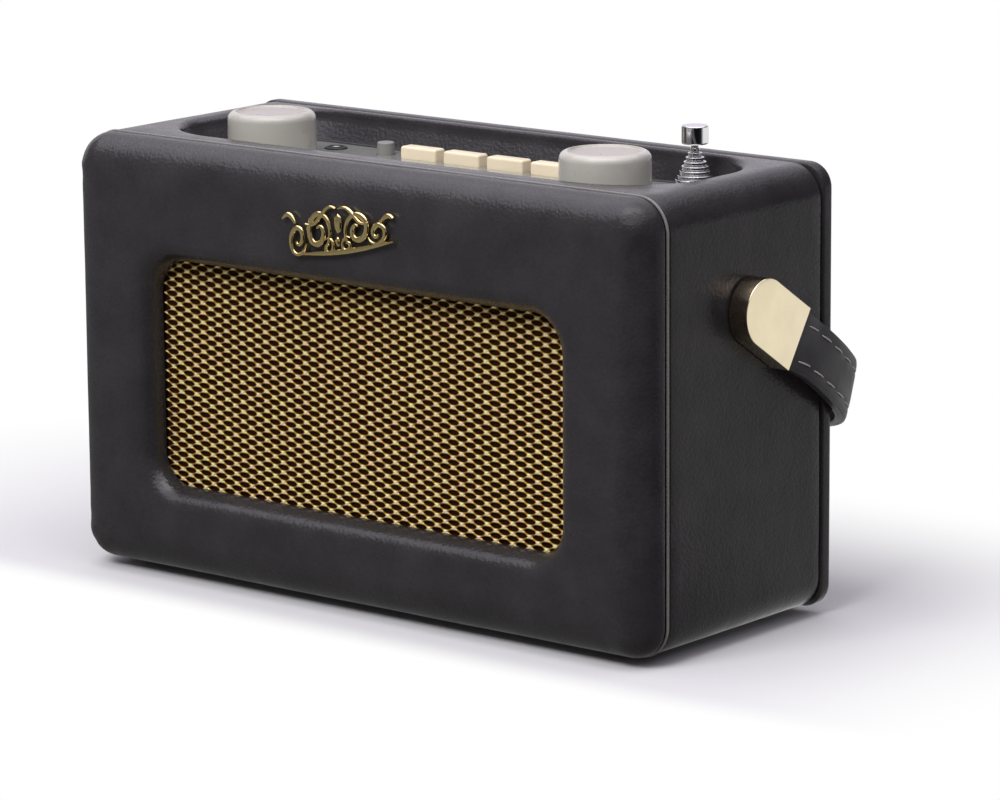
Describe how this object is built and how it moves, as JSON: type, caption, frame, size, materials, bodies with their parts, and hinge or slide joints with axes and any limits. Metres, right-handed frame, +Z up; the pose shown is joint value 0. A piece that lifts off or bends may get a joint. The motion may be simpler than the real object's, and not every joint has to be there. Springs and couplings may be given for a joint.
{
  "type": "leather portable radio",
  "caption": "Portable table radio in leather with a gold mesh grille, sunk top controls, a telescopic aerial and a strap handle that swings on side pivots.",
  "frame": {"origin": "middle of the bounding box in X and Y, on the plane that the feet stand on", "axes": "+Z up, the grille faces -Y, +X is to the right for someone facing the grille"},
  "size_m": [0.223, 0.1116, 0.138],
  "materials": {
    "leather": "satin, fine pebbled grain",
    "strap_leather": "satin, smooth",
    "piping": "satin",
    "gold": "polished gold plate",
    "pale_gold": "polished pale gold plate",
    "chrome": "polished",
    "steel": "satin",
    "cream": "satin",
    "stone": "satin",
    "grey": "satin",
    "black": "matte",
    "panel": "polished, brass tinted",
    "cloth": "matte open weave",
    "paper": "matte",
    "board": "matte fibre board",
    "circuit": "satin solder mask",
    "display": "polished",
    "rubber": "matte",
    "cell": "satin sleeve"
  },
  "bodies": {
    "cabinet": {"front_frame": "leather", "cabinet_shell": "leather", "rear_panel": "leather", "front_piping": "piping", "grille_mesh": "gold", "grille_cloth": "cloth", "baffle_board": "board", "badge": "gold", "speaker_basket": "steel", "speaker_magnet": "steel", "speaker_cone": "paper", "speaker_dust_cap": "paper", "control_panel": "panel", "display_window": "display", "display_module": "black", "key_board": "circuit", "main_board": "circuit", "tuner_module": "steel", "volume_encoder": "black", "tuning_encoder": "black", "headphone_socket": "black", "dc_socket": "black", "aux_socket": "black", "aerial_collar": "chrome", "handle_pivot_left": "steel", "handle_pivot_right": "steel", "battery_box": "black", "battery_1": "cell", "battery_2": "cell", "battery_3": "cell", "battery_4": "cell", "foot_front_left": "rubber", "foot_front_right": "rubber", "foot_rear_left": "rubber", "foot_rear_right": "rubber", "rear_screw_lower_left": "steel", "rear_screw_lower_right": "steel", "rear_screw_upper_left": "steel", "rear_screw_upper_right": "steel"},
    "handle": {"handle_strap": "strap_leather", "handle_cap_left": "pale_gold", "handle_cap_right": "pale_gold"},
    "volume_knob": {"volume_knob": "stone", "volume_shaft": "steel"},
    "tuning_plunger": {"tuning_shaft": "steel"},
    "tuning_knob": {"tuning_knob": "stone"},
    "power_button": {"power_button": "grey"},
    "battery_door": {"battery_door": "leather"},
    "preset_key_1": {"preset_key_1": "cream"},
    "preset_key_2": {"preset_key_2": "cream"},
    "preset_key_3": {"preset_key_3": "cream"},
    "preset_key_4": {"preset_key_4": "cream"},
    "aerial_section_1": {"aerial_section_1": "chrome"},
    "aerial_section_2": {"aerial_section_2": "chrome"},
    "aerial_section_3": {"aerial_section_3": "chrome"},
    "aerial_section_4": {"aerial_section_4": "chrome"},
    "aerial_section_5": {"aerial_section_5": "chrome"},
    "aerial_section_6": {"aerial_section_6": "chrome"},
    "aerial_section_7": {"aerial_section_7": "chrome", "aerial_tip": "chrome"}
  },
  "joints": [
    {"name": "handle_swing", "type": "hinge", "parent": "cabinet", "child": "handle", "pos_m": [0, -0.00586, 0.0933], "axis": [1, 0, 0], "range_deg": [-1, 238]},
    {"name": "volume_turn", "type": "hinge", "parent": "cabinet", "child": "volume_knob", "pos_m": [-0.0613, -0.01276, 0.1199], "axis": [0, 0, 1], "continuous": true},
    {"name": "tuning_push", "type": "slide", "parent": "cabinet", "child": "tuning_plunger", "axis": [0, 0, -1], "range_m": [0, 0.0006], "stiffness_N_per_m": 2500, "springref_m": -0.0004},
    {"name": "tuning_turn", "type": "hinge", "parent": "tuning_plunger", "child": "tuning_knob", "pos_m": [0.0613, -0.01276, 0.1199], "axis": [0, 0, 1], "continuous": true},
    {"name": "power_push", "type": "slide", "parent": "cabinet", "child": "power_button", "axis": [0, 0, -1], "range_m": [0, 0.001], "stiffness_N_per_m": 900, "springref_m": -0.0006},
    {"name": "preset_push_1", "type": "slide", "parent": "cabinet", "child": "preset_key_1", "axis": [0, 0, -1], "range_m": [0, 0.0012], "stiffness_N_per_m": 900, "springref_m": -0.0006},
    {"name": "preset_push_2", "type": "slide", "parent": "cabinet", "child": "preset_key_2", "axis": [0, 0, -1], "range_m": [0, 0.0012], "stiffness_N_per_m": 900, "springref_m": -0.0006},
    {"name": "preset_push_3", "type": "slide", "parent": "cabinet", "child": "preset_key_3", "axis": [0, 0, -1], "range_m": [0, 0.0012], "stiffness_N_per_m": 900, "springref_m": -0.0006},
    {"name": "preset_push_4", "type": "slide", "parent": "cabinet", "child": "preset_key_4", "axis": [0, 0, -1], "range_m": [0, 0.0012], "stiffness_N_per_m": 900, "springref_m": -0.0006},
    {"name": "aerial_slide_1", "type": "slide", "parent": "cabinet", "child": "aerial_section_1", "axis": [0, 0, 1], "range_m": [0, 0.062]},
    {"name": "aerial_slide_2", "type": "slide", "parent": "aerial_section_1", "child": "aerial_section_2", "axis": [0, 0, 1], "range_m": [0, 0.062]},
    {"name": "aerial_slide_3", "type": "slide", "parent": "aerial_section_2", "child": "aerial_section_3", "axis": [0, 0, 1], "range_m": [0, 0.062]},
    {"name": "aerial_slide_4", "type": "slide", "parent": "aerial_section_3", "child": "aerial_section_4", "axis": [0, 0, 1], "range_m": [0, 0.062]},
    {"name": "aerial_slide_5", "type": "slide", "parent": "aerial_section_4", "child": "aerial_section_5", "axis": [0, 0, 1], "range_m": [0, 0.062]},
    {"name": "aerial_slide_6", "type": "slide", "parent": "aerial_section_5", "child": "aerial_section_6", "axis": [0, 0, 1], "range_m": [0, 0.062]},
    {"name": "aerial_slide_7", "type": "slide", "parent": "aerial_section_6", "child": "aerial_section_7", "axis": [0, 0, 1], "range_m": [0, 0.062]},
    {"name": "battery_door_open", "type": "hinge", "parent": "cabinet", "child": "battery_door", "pos_m": [0, 0.03414, 0.014], "axis": [-1, 0, 0], "range_deg": [0, 95]}
  ],
  "couplings": [
    {"joint": "aerial_slide_2", "follows": "aerial_slide_1", "ratio": 1},
    {"joint": "aerial_slide_3", "follows": "aerial_slide_1", "ratio": 1},
    {"joint": "aerial_slide_4", "follows": "aerial_slide_1", "ratio": 1},
    {"joint": "aerial_slide_5", "follows": "aerial_slide_1", "ratio": 1},
    {"joint": "aerial_slide_6", "follows": "aerial_slide_1", "ratio": 1},
    {"joint": "aerial_slide_7", "follows": "aerial_slide_1", "ratio": 1}
  ]
}
